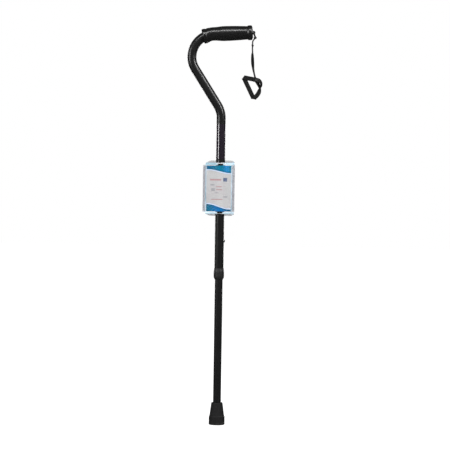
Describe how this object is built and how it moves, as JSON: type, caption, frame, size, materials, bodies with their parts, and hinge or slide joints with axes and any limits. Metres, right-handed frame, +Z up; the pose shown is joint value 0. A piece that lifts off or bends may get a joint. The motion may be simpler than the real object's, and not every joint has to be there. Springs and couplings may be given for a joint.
{
  "type": "offset handle walking cane",
  "caption": "Height-adjustable offset-handle walking cane with locking collar, snap button, rubber tip, wrist strap and hang tag.",
  "frame": {"origin": "centre of the rubber tip's sole, on the floor", "axes": "+Z up the shaft, +X from the shaft towards the grip's free end, +Y away from the tag's printed front"},
  "size_m": [0.183, 0.0439, 0.9652],
  "materials": {
    "powder_coated_tube": "satin black powder coat",
    "vinyl_grip": "smooth black moulded vinyl with a soft sheen",
    "moulded_plastic": "black moulded plastic",
    "gloss_film": "blank glossy black film",
    "bush_plastic": "natural acetal",
    "spring_steel": "bright spring steel strip",
    "plated_button": "plated steel",
    "black_rubber": "moulded black rubber",
    "washer_steel": "zinc-plated steel",
    "clear_film": "clear laminate film",
    "printed_card": null,
    "braided_cord": "black braided cord",
    "nylon_webbing": "black woven nylon webbing",
    "stitch_thread": "black thread"
  },
  "bodies": {
    "handle": {"handle_tube": "powder_coated_tube", "grip": "vinyl_grip", "end_plug": "moulded_plastic", "shaft_label": "gloss_film"},
    "bush": {"collar_bush": "bush_plastic"},
    "nut": {"collar_nut": "moulded_plastic"},
    "leg": {"leg_tube": "powder_coated_tube", "clip_frame": "spring_steel", "rubber_tip": "black_rubber", "tip_washer": "washer_steel"},
    "button": {"button_arm": "spring_steel", "snap_button": "plated_button"},
    "tag": {"tag_front_film": "clear_film", "tag_back_film": "clear_film", "tag_card": "printed_card"},
    "cord": {"strap_cord": "braided_cord"},
    "loop": {"strap_webbing": "nylon_webbing", "strap_stitching": "stitch_thread"}
  },
  "joints": [
    {"name": "leg_slide", "type": "slide", "parent": "handle", "child": "leg", "axis": [0, 0, 1], "range_m": [-0.0254, 0.2032], "deforming": ["button_arm", "snap_button"]},
    {"name": "button_press", "type": "hinge", "parent": "leg", "child": "button", "pos_m": [0.0066, 0, 0.40203], "axis": [0, -1, 0], "range_deg": [0, 6.4], "stiffness_Nm_per_rad": 1.5},
    {"name": "bush_slide", "type": "slide", "parent": "handle", "child": "bush", "axis": [0, 0, 1], "range_m": [-0.0015, 0]},
    {"name": "collar_turn", "type": "hinge", "parent": "bush", "child": "nut", "pos_m": [0, 0, 0.35013], "axis": [0, 0, 1], "range_deg": [-360, 0]},
    {"name": "tag_slide", "type": "slide", "parent": "handle", "child": "tag", "axis": [0, 0, 1], "range_m": [-0.055, 0.095]},
    {"name": "strap_swing", "type": "hinge", "parent": "handle", "child": "cord", "pos_m": [0.07559, 0, 0.94766], "axis": [0, -1, 0], "range_deg": [0, 85]},
    {"name": "loop_swing", "type": "hinge", "parent": "cord", "child": "loop", "pos_m": [0.07329, 0, 0.90126], "axis": [1, 0, 0], "range_deg": [-60, 60]}
  ],
  "couplings": [
    {"joint": "collar_turn", "follows": "bush_slide", "rad_per_m": 4188}
  ]
}
